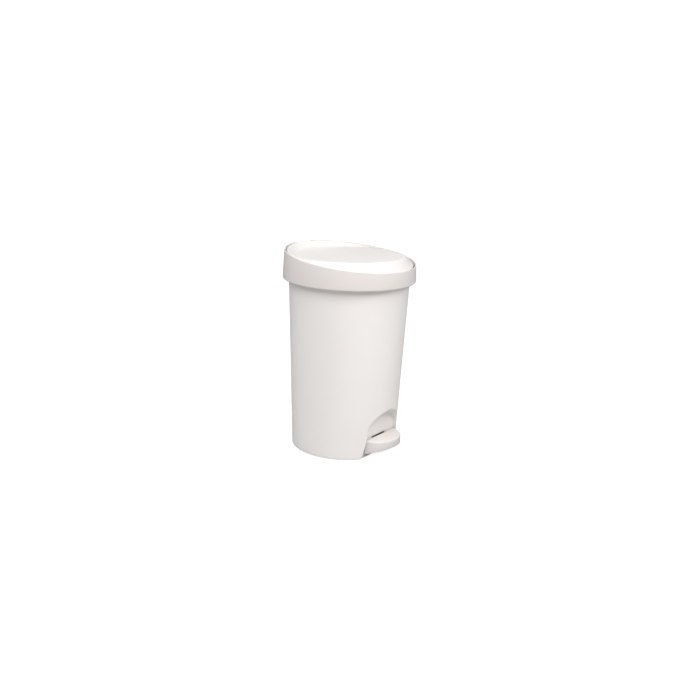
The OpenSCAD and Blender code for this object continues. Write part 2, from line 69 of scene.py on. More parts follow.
def rounded(corners: Sequence[Corner], closed: bool = True) -> np.ndarray:
    """Rounds each corner of an outline with a circular arc.

    Args:
        corners: The outline's corners in order.
        closed: Whether the last corner joins the first.

    Returns:
        The outline's points, one row each. Their number depends only on the corners' steps.
    """
    points = []
    count = len(corners)
    for index, corner in enumerate(corners):
        here = np.array([corner.a, corner.b])
        at_end = not closed and index in (0, count - 1)
        if corner.radius <= 0 or at_end:
            points.append(here)
            continue
        before = np.array([corners[index - 1].a, corners[index - 1].b]) - here
        following = corners[(index + 1) % count]
        after = np.array([following.a, following.b]) - here
        len_before, len_after = np.linalg.norm(before), np.linalg.norm(after)
        before, after = before / len_before, after / len_after
        half = math.acos(float(np.clip(np.dot(before, after), -1, 1))) / 2
        reach = corner.radius / max(math.tan(half), 1e-6)
        reach = min(max(reach, 0.05), 0.46 * len_before, 0.46 * len_after)
        weight = math.sin(half)
        for step in range(corner.steps + 1):
            t = step / corner.steps
            parts = ((1 - t) ** 2, 2 * weight * t * (1 - t), t * t)
            blend = parts[0] * (here + before * reach) + parts[1] * here
            blend += parts[2] * (here + after * reach)
            points.append(blend / sum(parts))
    return np.array(points)


def link(obj: bpy.types.Object) -> bpy.types.Object:
    """Puts an object into the scene."""
    bpy.context.scene.collection.objects.link(obj)
    return obj


def finish_mesh(name: str, bm: bmesh.types.BMesh) -> bpy.types.Object:
    """Makes a smooth-shaded object of a mesh in millimetres.

    Args:
        name: The new piece's name.
        bm: The mesh. It is freed.

    Returns:
        The new object, in metres.
    """
    bmesh.ops.remove_doubles(bm, verts=bm.verts, dist=MERGE_MM)
    bmesh.ops.dissolve_degenerate(bm, edges=bm.edges, dist=MERGE_MM / 4)
    bmesh.ops.recalc_face_normals(bm, faces=bm.faces)
    bmesh.ops.scale(bm, vec=(MM, MM, MM), verts=bm.verts)
    mesh = bpy.data.meshes.new(name)
    bm.to_mesh(mesh)
    bm.free()
    shade(mesh)
    return link(bpy.data.objects.new(name, mesh))


def shade(mesh: bpy.types.Mesh) -> None:
    """Shades a mesh smooth, apart from its sharp edges."""
    mesh.polygons.foreach_set("use_smooth", [True] * len(mesh.polygons))
    mesh.set_sharp_from_angle(angle=SMOOTH_ANGLE)


def add_grid(
    bm: bmesh.types.BMesh, grid: np.ndarray, wrap: bool = False, cap: bool = False
) -> None:
    """Adds rows of points as a sheet of quads.

    Args:
        bm: The mesh to add to.
        grid: Points as rows by columns by three.
        wrap: Whether the last row joins the first.
        cap: Whether the last column joins the first.
    """
    rows, cols = grid.shape[:2]
    verts = [[bm.verts.new(p) for p in row] for row in grid]
    for i in range(rows if wrap else rows - 1):
        for j in range(cols if cap else cols - 1):
            k, m = (i + 1) % rows, (j + 1) % cols
            bm.faces.new((verts[i][j], verts[i][m], verts[k][m], verts[k][j]))


def ring_at(section: np.ndarray, angle: float) -> np.ndarray:
    """Stands a section, given as radius and height, upright at an angle in radians."""
    radius, height = section[:, 0], section[:, 1]
    return np.column_stack([radius * math.cos(angle), radius * math.sin(angle), height])


def turned(
    name: str, section: Callable[[float], np.ndarray], angles: Sequence[float]
) -> bpy.types.Object:
    """Sweeps a section round the vertical axis.

    Args:
        name: The new piece's name.
        section: Gives the section's points, as radius and height, at an angle in radians. It
            starts and ends on the axis.
        angles: The angles, in order round the axis.

    Returns:
        The new object.
    """
    rings = [ring_at(section(angle), angle) for angle in angles]
    bm = bmesh.new()
    add_grid(bm, np.array(rings), wrap=True)
    return finish_mesh(name, bm)


def even_angles(count: int) -> list[float]:
    """Angles spread evenly round a circle."""
    return [2 * math.pi * i / count for i in range(count)]


def applied(obj: bpy.types.Object) -> bpy.types.Object:
    """Replaces an object's mesh by what its modifiers make of it."""
    graph = bpy.context.evaluated_depsgraph_get()
    mesh = bpy.data.meshes.new_from_object(obj.evaluated_get(graph))
    obj.modifiers.clear()
    obj.data = mesh
    shade(mesh)
    return obj


def soften(
    obj: bpy.types.Object, width_mm: float, angle: float = 35, segments: int = 2
) -> bpy.types.Object:
    """Rounds an object's sharp edges.

    Args:
        obj: The object.
        width_mm: The width of the rounding.
        angle: The least angle in degrees that counts as sharp.
        segments: The number of faces across the rounding.

    Returns:
        The same object.
    """
    bevel = obj.modifiers.new("soften", "BEVEL")
    bevel.width = width_mm * MM
    bevel.segments = segments
    bevel.limit_method = "ANGLE"
    bevel.angle_limit = math.radians(angle)
    bevel.use_clamp_overlap = True
    return applied(obj)


def subtract(obj: bpy.types.Object, tool: bpy.types.Object) -> bpy.types.Object:
    """Cuts a tool's shape out of an object, and removes the tool."""
    knife = obj.modifiers.new("cut", "BOOLEAN")
    knife.operation = "DIFFERENCE"
    knife.solver = "EXACT"
    knife.object = tool
    applied(obj)
    bpy.data.objects.remove(tool)
    return obj


def plain_box(name: str, low: Sequence[float], high: Sequence[float]) -> bpy.types.Object:
    """Makes a box between two corners, in millimetres."""
    bm = bmesh.new()
    bmesh.ops.create_cube(bm, size=1)
    size = Vector(high) - Vector(low)
    middle = (Vector(high) + Vector(low)) / 2
    placing = Matrix.Translation(middle) @ Matrix.Diagonal((*size, 1))
    bmesh.ops.transform(bm, matrix=placing, verts=bm.verts)
    return finish_mesh(name, bm)


def cut(obj: bpy.types.Object, low: Sequence[float], high: Sequence[float]) -> bpy.types.Object:
    """Cuts a box, given by two corners in millimetres, out of an object."""
    return subtract(obj, plain_box("cutter", low, high))


def joined(name: str, parts: Sequence[bpy.types.Object]) -> bpy.types.Object:
    """Joins several objects at the origin into one piece."""
    bm = bmesh.new()
    for part in parts:
        bm.from_mesh(part.data)
    mesh = bpy.data.meshes.new(name)
    bm.to_mesh(mesh)
    bm.free()
    for part in parts:
        bpy.data.objects.remove(part)
    shade(mesh)
    return link(bpy.data.objects.new(name, mesh))


def softened_copy(node: str, width_mm: float) -> bpy.types.Object:
    """Copies a CAD node's mesh into a new piece with rounded edges.

    Args:
        node: The CAD node's name.
        width_mm: The width of the rounding.

    Returns:
        The new piece.
    """
    bm = bmesh.new()
    bm.from_mesh(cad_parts[node].data)
    bmesh.ops.remove_doubles(bm, verts=bm.verts, dist=MERGE_MM * MM)
    bmesh.ops.dissolve_limit(bm, angle_limit=math.radians(1.0), verts=bm.verts, edges=bm.edges)
    mesh = bpy.data.meshes.new(node + "_soft")
    bm.to_mesh(mesh)
    bm.free()
    obj = link(bpy.data.objects.new(node + "_soft", mesh))
    return soften(obj, width_mm, angle=40)


def x_barrel(
    name: str, radius: float, low: float, high: float, y: float, z: float, edge: float = 0.5
) -> bpy.types.Object:
    """Makes a cylinder along X with rounded ends, in millimetres."""
    profile = rounded(
        [
            Corner(0, low),
            Corner(radius, low, edge, 3),
            Corner(radius, high, edge, 3),
            Corner(0, high),
        ],
        closed=False,
    )
    rings = [
        np.column_stack(
            [
                profile[:, 1],
                y + profile[:, 0] * math.cos(angle),
                z + profile[:, 0] * math.sin(angle),
            ]
        )
        for angle in even_angles(48)
    ]
    bm = bmesh.new()
    add_grid(bm, np.array(rings), wrap=True)
    return finish_mesh(name, bm)


def block(name: str, low: Sequence[float], high: Sequence[float], edge: float) -> bpy.types.Object:
    """Makes a box with rounded edges, in millimetres."""
    return soften(plain_box(name, low, high), edge, segments=3)


# ---- Finishes ------------------------------------------------------------------------


class Tree:
    """A thin layer over a node tree that adds and joins nodes."""

    def __init__(self, tree: bpy.types.NodeTree) -> None:
        """Keeps the tree."""
        self.tree = tree

    def add(self, kind: str, **settings: object) -> bpy.types.Node:
        """Adds a node.

        Args:
            kind: The node's type.
            **settings: Properties of the node to set.

        Returns:
            The node.
        """
        node = self.tree.nodes.new(kind)
        for key, value in settings.items():
            setattr(node, key, value)
        return node

    def join(self, source: bpy.types.NodeSocket, target: bpy.types.NodeSocket) -> None:
        """Links two sockets."""
        self.tree.links.new(source, target)

    def math(self, operation: str, first: object, second: object) -> bpy.types.NodeSocket:
        """Adds a Math node, with sockets or numbers as its inputs, and returns its output."""
        node = self.add("ShaderNodeMath", operation=operation)
        for index, value in enumerate((first, second)):
            if isinstance(value, bpy.types.NodeSocket):
                self.join(value, node.inputs[index])
            else:
                node.inputs[index].default_value = float(value)
        return node.outputs[0]


def new_group(
    name: str, inputs: Sequence[tuple[str, str, object]], outputs: Sequence[tuple[str, str]]
) -> tuple[Tree, bpy.types.Node, bpy.types.Node]:
    """Makes an empty shader node group.

    Args:
        name: The group's name.
        inputs: Name, socket type and default of each input.
        outputs: Name and socket type of each output.

    Returns:
        The group's tree and its input and output nodes.
    """
    group = bpy.data.node_groups.new(name, "ShaderNodeTree")
    for label, kind, default in inputs:
        socket = group.interface.new_socket(name=label, in_out="INPUT", socket_type=kind)
        socket.default_value = default
    for label, kind in outputs:
        group.interface.new_socket(name=label, in_out="OUTPUT", socket_type=kind)
    tree = Tree(group)
    return tree, tree.add("NodeGroupInput"), tree.add("NodeGroupOutput")


def moulded_grain() -> bpy.types.NodeTree:
    """The fine grain and faint ripple of a moulded plastic face, as a height."""
    tree, given, made = new_group(
        "moulded_grain",
        [
            ("Grain size", "NodeSocketFloat", 900.0),
            ("Grain", "NodeSocketFloat", 1.0),
            ("Ripple", "NodeSocketFloat", 1.0),
        ],
        [("Height", "NodeSocketFloat")],
    )
    place = tree.add("ShaderNodeTexCoord")
    fine = tree.add("ShaderNodeTexNoise")
    fine.inputs["Detail"].default_value = 3.0
    tree.join(place.outputs["Object"], fine.inputs["Vector"])
    tree.join(given.outputs["Grain size"], fine.inputs["Scale"])
    broad = tree.add("ShaderNodeTexNoise")
    broad.inputs["Scale"].default_value = 9.0
    broad.inputs["Detail"].default_value = 1.0
    tree.join(place.outputs["Object"], broad.inputs["Vector"])
    grain = tree.math("MULTIPLY", fine.outputs["Fac"], given.outputs["Grain"])
    ripple = tree.math("MULTIPLY", broad.outputs["Fac"], given.outputs["Ripple"])
    tree.join(tree.math("ADD", grain, ripple), made.inputs["Height"])
    return tree.tree


def tone_drift() -> bpy.types.NodeTree:
    """A slow drift between two tones, with a trace of mottle, as a colour."""
    tree, given, made = new_group(
        "tone_drift",
        [
            ("Light tone", "NodeSocketColor", (1, 1, 1, 1)),
            ("Deep tone", "NodeSocketColor", (0.9, 0.9, 0.9, 1)),
            ("Patch size", "NodeSocketFloat", 6.0),
        ],
        [("Colour", "NodeSocketColor")],
    )
    place = tree.add("ShaderNodeTexCoord")
    slow = tree.add("ShaderNodeTexNoise")
    slow.inputs["Detail"].default_value = 4.0
    slow.inputs["Roughness"].default_value = 0.55
    tree.join(place.outputs["Object"], slow.inputs["Vector"])
    tree.join(given.outputs["Patch size"], slow.inputs["Scale"])
    spread = tree.add("ShaderNodeMapRange")
    spread.inputs["From Min"].default_value = 0.35
    spread.inputs["From Max"].default_value = 0.65
    tree.join(slow.outputs["Fac"], spread.inputs["Value"])
    mix = tree.add("ShaderNodeMix", data_type="RGBA")
    tree.join(spread.outputs["Result"], mix.inputs["Factor"])
    tree.join(given.outputs["Light tone"], mix.inputs["A"])
    tree.join(given.outputs["Deep tone"], mix.inputs["B"])
    tree.join(mix.outputs["Result"], made.inputs["Colour"])
    return tree.tree


def handling_marks() -> bpy.types.NodeTree:
    """Where hands and cloths have left a face a little glossier or duller, as a roughness."""
    tree, given, made = new_group(
        "handling_marks",
        [
            ("Roughness", "NodeSocketFloat", 0.4),
            ("Spread", "NodeSocketFloat", 0.06),
            ("Patch size", "NodeSocketFloat", 14.0),
        ],
        [("Roughness", "NodeSocketFloat")],
    )
    place = tree.add("ShaderNodeTexCoord")
    cloudy = tree.add("ShaderNodeTexNoise")
    cloudy.inputs["Detail"].default_value = 5.0
    tree.join(place.outputs["Object"], cloudy.inputs["Vector"])
    tree.join(given.outputs["Patch size"], cloudy.inputs["Scale"])
    centred = tree.math("SUBTRACT", cloudy.outputs["Fac"], 0.5)
    swing = tree.math("MULTIPLY", centred, tree.math("MULTIPLY", given.outputs["Spread"], 2.0))
    tree.join(tree.math("ADD", given.outputs["Roughness"], swing), made.inputs["Roughness"])
    return tree.tree


def drawn_lines() -> bpy.types.NodeTree:
    """Fine drawn lines along a steel rod or pin, as a height."""
    tree, given, made = new_group(
        "drawn_lines",
        [("Line density", "NodeSocketFloat", 400.0)],
        [("Height", "NodeSocketFloat")],
    )
    place = tree.add("ShaderNodeTexCoord")
    stretch = tree.add("ShaderNodeMapping")
    stretch.inputs["Scale"].default_value = (1.0, 1.0, 0.06)
    tree.join(place.outputs["Object"], stretch.inputs["Vector"])
    lines = tree.add("ShaderNodeTexNoise")
    lines.inputs["Detail"].default_value = 2.0
    tree.join(stretch.outputs["Vector"], lines.inputs["Vector"])
    tree.join(given.outputs["Line density"], lines.inputs["Scale"])
    tree.join(lines.outputs["Fac"], made.inputs["Height"])
    return tree.tree


class Effects:
    """The shader node groups that the finishes share, each built once."""

    def __init__(self) -> None:
        """Builds the groups."""
        self.grain = moulded_grain()
        self.tone = tone_drift()
        self.marks = handling_marks()
        self.drawn = drawn_lines()

    def place(
        self, tree: Tree, group: bpy.types.NodeTree, **values: object
    ) -> bpy.types.Node:
        """Puts a group into a material.

        Args:
            tree: The material's tree.
            group: The group.
            **values: Input values, with spaces in the names written as underscores.

        Returns:
            The group node.
        """
        node = tree.add("ShaderNodeGroup", node_tree=group)
        for key, value in values.items():
            node.inputs[key.replace("_", " ")].default_value = value
        return node


def shader_of(name: str) -> tuple[bpy.types.Material, Tree, bpy.types.Node]:
    """Makes an empty material with a Principled shader in it."""
    material = bpy.data.materials.new(name)
    material.use_nodes = True
    material.node_tree.nodes.clear()
    tree = Tree(material.node_tree)
    shader = tree.add("ShaderNodeBsdfPrincipled")
    out = tree.add("ShaderNodeOutputMaterial")
    tree.join(shader.outputs["BSDF"], out.inputs["Surface"])
    return material, tree, shader


@dataclass(frozen=True)
class PlasticFinish:
    """A moulded plastic: its tones, gloss and grain."""

    slot: str
    light: Colour
    deep: Colour
    roughness: float = 0.4
    grain_size: float = 900.0
    grain: float = 1.0
    ripple: float = 1.0
    bump_mm: float = 0.03
    subsurface: float = 0.0
    ior: float = 1.49

    def material(self, effects: Effects) -> bpy.types.Material:
        """Builds the finish's material."""
        material, tree, shader = shader_of(self.slot)
        tone = effects.place(
            tree, effects.tone, Light_tone=(*self.light, 1), Deep_tone=(*self.deep, 1)
        )
        tree.join(tone.outputs["Colour"], shader.inputs["Base Color"])
        marks = effects.place(tree, effects.marks)
        marks.inputs["Roughness"].default_value = self.roughness
        tree.join(marks.outputs["Roughness"], shader.inputs["Roughness"])
        grain = effects.place(tree, effects.grain, Grain_size=self.grain_size)
        grain.inputs["Grain"].default_value = self.grain
        grain.inputs["Ripple"].default_value = self.ripple
        bump = tree.add("ShaderNodeBump")
        bump.inputs["Distance"].default_value = self.bump_mm * MM
        bump.inputs["Strength"].default_value = 1.0
        tree.join(grain.outputs["Height"], bump.inputs["Height"])
        tree.join(bump.outputs["Normal"], shader.inputs["Normal"])
        shader.inputs["IOR"].default_value = self.ior
        shader.inputs["Subsurface Weight"].default_value = self.subsurface
        shader.inputs["Subsurface Radius"].default_value = (1.0, 0.9, 0.8)
        shader.inputs["Subsurface Scale"].default_value = 0.004
        return material


@dataclass(frozen=True)
class SteelFinish:
    """A plated or spring steel."""

    slot: str
    light: Colour
    deep: Colour
    roughness: float = 0.28

    def material(self, effects: Effects) -> bpy.types.Material:
        """Builds the finish's material."""
        material, tree, shader = shader_of(self.slot)
        tone = effects.place(
            tree, effects.tone, Light_tone=(*self.light, 1), Deep_tone=(*self.deep, 1)
        )
        tone.inputs["Patch size"].default_value = 60.0
        tree.join(tone.outputs["Colour"], shader.inputs["Base Color"])
        marks = effects.place(tree, effects.marks, Spread=0.1, Patch_size=90.0)
        marks.inputs["Roughness"].default_value = self.roughness
        tree.join(marks.outputs["Roughness"], shader.inputs["Roughness"])
        lines = effects.place(tree, effects.drawn, Line_density=2500.0)
        bump = tree.add("ShaderNodeBump")
        bump.inputs["Distance"].default_value = 0.01 * MM
        tree.join(lines.outputs["Height"], bump.inputs["Height"])
        tree.join(bump.outputs["Normal"], shader.inputs["Normal"])
        shader.inputs["Metallic"].default_value = 1.0
        return material


class Finishes(Enum):
    """The finishes of this bin, by the record's material slot."""

    BODY = PlasticFinish("white_body", (0.9, 0.872, 0.856), (0.884, 0.852, 0.834), 0.42, grain=0.8)
    COLLAR = PlasticFinish(
        "white_collar", (0.775, 0.733, 0.715), (0.752, 0.71, 0.692), 0.38, grain=0.8
    )
    LID = PlasticFinish(
        "white_lid",
        (0.785, 0.762, 0.75),
        (0.77, 0.747, 0.734),
        0.36,
        grain=0.5,
        bump_mm=0.02,
        ior=1.42,
    )
    TREAD = PlasticFinish(
        "white_tread",
        (0.8, 0.768, 0.752),
        (0.78, 0.746, 0.73),
        0.46,
        grain_size=650,
        grain=2.2,
        bump_mm=0.08,
    )
    GREY = PlasticFinish("grey_moulding", (0.34, 0.35, 0.36), (0.3, 0.31, 0.32), 0.45, grain=1.4)
    BUCKET = PlasticFinish("grey_bucket", (0.47, 0.48, 0.49), (0.43, 0.44, 0.45), 0.4, grain=1.2)
    NYLON = PlasticFinish("nylon", (0.78, 0.75, 0.68), (0.72, 0.69, 0.62), 0.35, subsurface=0.2)
    STUD = PlasticFinish("soft_stud", (0.5, 0.5, 0.49), (0.44, 0.44, 0.43), 0.6, grain=1.6)
    RUBBER = PlasticFinish(
        "black_rubber", (0.032, 0.032, 0.033), (0.022, 0.022, 0.023), 0.72, grain=2.0
    )
    STEEL = SteelFinish("plated_steel", (0.7, 0.71, 0.72), (0.6, 0.61, 0.63))
    SPRING = SteelFinish("spring_steel", (0.42, 0.43, 0.45), (0.34, 0.35, 0.37), 0.35)


class Workshop:
    """Dresses pieces and ties them to the frame."""

    def __init__(self) -> None:
        """Builds each finish's material once."""
        self.effects = Effects()
        self.materials = {finish: finish.value.material(self.effects) for finish in Finishes}

    def dress(
        self, piece: bpy.types.Object, finish: Finishes, body: str, replaces: Sequence[str] = ()
    ) -> bpy.types.Object:
        """Gives a new piece its material and ties it to its body.

        Args:
            piece: The piece.
            finish: Its finish.
            body: The CAD body that it rides on.
            replaces: The CAD nodes that it stands for.

        Returns:
            The piece.
        """
        piece.data.materials.clear()
        piece.data.materials.append(self.materials[finish])
        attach(piece, body)
        if replaces:
            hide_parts(*replaces)
        log.info("piece %s on %s, %d faces", piece.name, body, len(piece.data.polygons))
        return piece

    def repaint(self, node: str, finish: Finishes) -> None:
        """Gives a CAD node that stays in view its material."""
        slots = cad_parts[node].material_slots
        for slot in slots:
            slot.material = self.materials[finish]
        log.info("CAD node %s repainted in %d slots", node, len(slots))


# ---- Outer body ----------------------------------------------------------------------


@dataclass
class OuterBody:
    """The tapered tub with its toe recess, in millimetres."""

    base_r: float = 110.0
    taper: float = 0.0392
    bottom_z: float = 2.0
    top_z: float = 372.0
    wall: float = 2.5
    floor_z: float = 47.0
    recess_half_w: float = 52.0
    recess_flare: float = 10.0
    spring_z: float = 65.0
    arch_z: float = 98.0
    arch_power: float = 1.14
    rise_z: float = 75.0
    back_y: float = 89.0
    frame_angle: float = math.radians(52)
    frame_z: float = 146.0
    side_rows: int = 26
    top_cols: int = 26
    lip: float = 1.4
    inner_lip: float = 3.0
    slot_half_w: float = 23.5
    slot_low_z: float = 8.0
    slot_high_z: float = 40.6

    def wall_r(self, z: float) -> float:
        """The outer radius at a height."""
        return self.base_r + self.taper * z

    def on_wall(self, angle: float, z: float, inset: float) -> list[float]:
        """A point on the wall, at an angle from the front towards the left."""
        r = self.wall_r(z) - inset
        return [-r * math.sin(angle), -r * math.cos(angle), z]

    def half_width(self, z: float) -> float:
        """Half the recess's width under the arch, flaring towards the foot."""
        low = max(0.0, (self.spring_z - z) / (self.spring_z - self.bottom_z))
        return self.recess_half_w + self.recess_flare * low**2.2

    def arch(self, inset: float, count: int) -> np.ndarray:
        """The left half of the recess's edge, from its foot to the top, as x and z."""
        side_z = np.linspace(self.bottom_z, self.spring_z, 30)
        side = [(-self.half_width(z) - inset, z) for z in side_z]
        rise = self.arch_z - self.spring_z + inset
        bend = [
            (
                -(self.recess_half_w + inset) * math.cos(a) ** self.arch_power,
                self.spring_z + rise * math.sin(a) ** self.arch_power,
            )
            for a in np.linspace(0, math.pi / 2, 60)[1:]
        ]
        path = np.array(side + bend)
        along = np.concatenate([[0], np.cumsum(np.linalg.norm(np.diff(path, axis=0), axis=1))])
        spots = np.linspace(0, along[-1], count)
        return np.column_stack([np.interp(spots, along, path[:, axis]) for axis in (0, 1)])

    def scoop_y(self, z: float, inset: float) -> float:
        """How far forward the recess's back wall lies at a height."""
        forward = self.wall_r(self.arch_z) - self.back_y
        if z <= self.rise_z:
            return -self.back_y + inset
        lift = min(1.0, (z - self.rise_z) / (self.arch_z - self.rise_z + inset))
        return -self.back_y + inset - forward * (1 - math.sqrt(1 - lift * lift))

    def recess_row(
        self, edge: np.ndarray, outer: tuple[float, float], out: np.ndarray, inset: float
    ) -> list[list[float]]:
        """One row of points from the plain wall over the recess's lip to its middle.

        Args:
            edge: The lip's x and z.
            outer: Angle and height where the row starts on the plain wall.
            out: The direction in x and z that points away from the recess.
            inset: How far inside the outer surface the row lies.

        Returns:
            The row's points.
        """
        lip = self.lip if inset == 0 else self.inner_lip
        x, z = edge
        wall_y = -math.sqrt((self.wall_r(z) - inset) ** 2 - x * x)
        start = edge + out * lip
        start_angle = math.asin(-start[0] / (self.wall_r(start[1]) - inset))
        row = []
        for f in 1 - (1 - np.linspace(0, 1, 9)) ** 1.35:
            angle = outer[0] + (start_angle - outer[0]) * f
            row.append(self.on_wall(angle, outer[1] + (start[1] - outer[1]) * f, inset))
        centre_z = z if z <= self.spring_z else self.spring_z + (z - self.spring_z) * 0.5
        centre = np.array([0.0, centre_z])
        reach = float(np.linalg.norm(centre - edge))
        inward = (centre - edge) / reach
        soft = 4.5 + 8.5 * min(1.0, max(0.0, (z - 52) / 30)) ** 1.5
        soft = min(soft, 0.8 * reach)
        depth = max(self.scoop_y(z, inset) - wall_y, 0.4)
        first = math.asin(min(0.5, lip / depth))

        def down(a: float) -> np.ndarray:
            """A point on the bend from the lip to the back wall, at an angle along it."""
            spot = edge + inward * soft * (1 - math.cos(a))
            y = wall_y + (self.scoop_y(spot[1], inset) - wall_y) * math.sin(a)
            return np.array([spot[0], y, spot[1]])

        lip_from, lip_over, lip_to = np.array(row[-1]), np.array([x, wall_y, z]), down(first)
        for t in (0.2, 0.4, 0.6, 0.8):
            row.append(list((1 - t) ** 2 * lip_from + 2 * t * (1 - t) * lip_over + t * t * lip_to))
        for a in np.linspace(first, math.pi / 2, 10):
            row.append(list(down(a)))
        for f in np.linspace(0, 1, 8)[1:]:
            spot = edge + inward * (soft + (reach - soft) * f)
            row.append([spot[0], self.scoop_y(spot[1], inset), spot[1]])
        return row

    def patches(self, inset: float) -> list[np.ndarray]:
        """The left half of one surface of the tub, as sheets of points that share their borders."""
        count = self.side_rows + self.top_cols + 1
        edge = self.arch(inset, count)
        rows_z = np.linspace(self.bottom_z, self.frame_z, self.side_rows + 1)
        cols_angle = np.linspace(self.frame_angle, 0, self.top_cols + 1)
        rows = []
        for j in range(count):
            if j <= self.side_rows:
                outer = (self.frame_angle, rows_z[j])
            else:
                outer = (cols_angle[j - self.side_rows], self.frame_z)
            along = edge[min(j + 1, count - 1)] - edge[max(j - 1, 0)]
            out = np.array([-along[1], along[0]])
            out /= np.linalg.norm(out)
            if j == 0:
                out = np.array([-1.0, 0.0])
            if j == count - 1:
                out = np.array([0.0, 1.0])
            rows.append(self.recess_row(edge[j], outer, out, inset))
        high_z = np.linspace(self.frame_z, self.top_z, 14)
        back_angles = np.linspace(self.frame_angle, math.pi, 66)
        back_z = np.concatenate([rows_z, high_z[1:]])
        back = np.array([[self.on_wall(a, z, inset) for a in back_angles] for z in back_z])
        above = np.array([[self.on_wall(a, z, inset) for a in cols_angle] for z in high_z])
        return [np.array(rows), back, above]

    def build(self) -> bpy.types.Object:
        """Makes the tub as one closed shell, with the lever's slot cut through it; its floor is
        made by build_floor.
        """
        bm = bmesh.new()
        skins = [self.patches(0.0), self.patches(self.wall)]
        for mirror in (1, -1):
            flip = np.array([mirror, 1, 1])
            for skin in skins:
                for patch in skin:
                    add_grid(bm, patch * flip)
            for index, row in ((0, 0), (1, 0), (1, -1), (2, -1)):
                pair = np.array([skins[0][index][row], skins[1][index][row]])
                add_grid(bm, pair * flip)
        shell = finish_mesh("outer_body_shell", bm)
        cut(
            shell,
            (-self.slot_half_w, -self.back_y - 3, self.slot_low_z),
            (self.slot_half_w, -self.back_y + self.wall + 3, self.slot_high_z),
        )
        soften(shell, 0.8, angle=55)
        return shell

    def build_floor(self) -> bpy.types.Object:
        """Makes the floor of the tub, which stops short of the recess."""
        radius = self.wall_r(self.floor_z) - self.wall - 0.05
        front = self.back_y - self.wall - 0.1
        half_gap = math.acos(front / radius)
        start = -half_gap + math.pi * 1.5
        angles = np.linspace(start, start - 2 * math.pi + 2 * half_gap, 140)
        points = [(radius * math.cos(a), radius * math.sin(a)) for a in angles]
        levels = (self.floor_z - self.wall, self.floor_z)
        bm = bmesh.new()
        ring = np.array([[[x, y, z] for x, y in points] for z in levels])
        add_grid(bm, ring, cap=True)
        for level in (0, -1):
            bm.faces.new([bm.verts.new(p) for p in ring[level]])
        return finish_mesh("outer_body_floor", bm)


# ---- Collar --------------------------------------------------------------------------


@dataclass
class Rim:
    """The plane that the collar's rim and the lid's edge follow, in millimetres."""

    mid_z: float = 403.5
    slope: float = 0.1085

    def z(self, y: float) -> float:
        """The rim's height at a distance behind the axis."""
        return self.mid_z + self.slope * y


@dataclass
class Collar:
    """The overhanging ring with its flange, hinge notch and lugs, in millimetres."""

    rim: Rim
    outer_r: float = 136.8
    taper: float = 0.05
    bottom_z: float = 355.3
    round_r: float = 3.5
    rim_w: float = 2.6
    rim_r: float = 133.0
    skin: float = 2.6
    flange_z: float = 372.0
    flange_h: float = 2.5
    mouth_r: float = 113.5
    inner_r: float = 124.6
    notch_half_w: float = 29.0
    notch_z: float = 408.6
    notch_r: float = 133.5
    tongue_front: float = 106.8
    tongue_half_w: float = 10.0

    def wall_r(self, z: float) -> float:
        """The outer radius at a height."""
        return self.outer_r - self.taper * (z - self.bottom_z - self.round_r)

    def mouth(self, angle: float) -> float:
        """The flange's inner radius, with the tongue that carries the rod's bush."""
        side = abs(self.mouth_r * math.cos(angle))
        if math.sin(angle) < 0 or side > self.tongue_half_w + 4:
            return self.mouth_r
        ease = min(1.0, max(0.0, (self.tongue_half_w + 2 - side) / 5))
        ease = ease * ease * (3 - 2 * ease)
        return self.mouth_r + (self.tongue_front / math.sin(angle) - self.mouth_r) * ease

    def section(self, angle: float, drop: float) -> np.ndarray:
        """The collar's section at an angle, with its top lowered by a drop."""
        top = self.rim.z(self.rim_r * math.sin(angle)) - drop
        flange_top = self.flange_z + self.flange_h
        base_in = self.wall_r(flange_top) - self.rim_w
        return rounded(
            [
                Corner(self.inner_r, self.bottom_z, 0.6, 2),
                Corner(self.outer_r + 0.1, self.bottom_z, self.round_r, 10),
                Corner(self.wall_r(top), top, 1.0, 5),
                Corner(self.wall_r(top) - self.rim_w, top, 1.0, 5),
                Corner(base_in, flange_top, 3.0, 6),
                Corner(self.mouth(angle), flange_top, 0.9, 4),
                Corner(self.mouth(angle), self.flange_z, 0.9, 4),
                Corner(base_in + 0.4, self.flange_z, 1.0, 3),
                Corner(self.outer_r - self.skin, self.bottom_z + self.skin, 1.2, 6),
                Corner(self.inner_r, self.bottom_z + self.skin, 0.6, 2),
            ]
        )

    def stations(self) -> list[tuple[float, float]]:
        """Angles round the collar, each with the drop of the rim there for the hinge notch."""
        deep = self.rim.z(self.notch_r) - self.notch_z
        half = self.notch_half_w
        path = rounded(
            [
                Corner(-half - 8, 0),
                Corner(-half, 0, 2.0, 5),
                Corner(-half, deep, 2.4, 5),
                Corner(half, deep, 2.4, 5),
                Corner(half, 0, 2.0, 5),
                Corner(half + 8, 0),
            ],
            closed=False,
        )
        radius = self.wall_r(self.notch_z) - self.rim_w / 2
        notch = [(math.pi / 2 - s / radius, d) for s, d in path]
        middle = len(notch) // 2
        across = np.linspace(notch[middle - 1][0], notch[middle][0], 24)[1:-1]
        notch = notch[:middle] + [(a, deep) for a in across] + notch[middle:]
        gap = 2 * math.pi - (notch[0][0] - notch[-1][0])
        rest = [(notch[-1][0] - gap * i / 200, 0.0) for i in range(1, 200)]
        return notch + rest

    def build(self) -> bpy.types.Object:
        """Makes the collar's ring."""
        rings = [ring_at(self.section(angle, drop), angle) for angle, drop in self.stations()]
        bm = bmesh.new()
        add_grid(bm, np.array(rings), wrap=True, cap=True)
        return finish_mesh("collar_ring", bm)


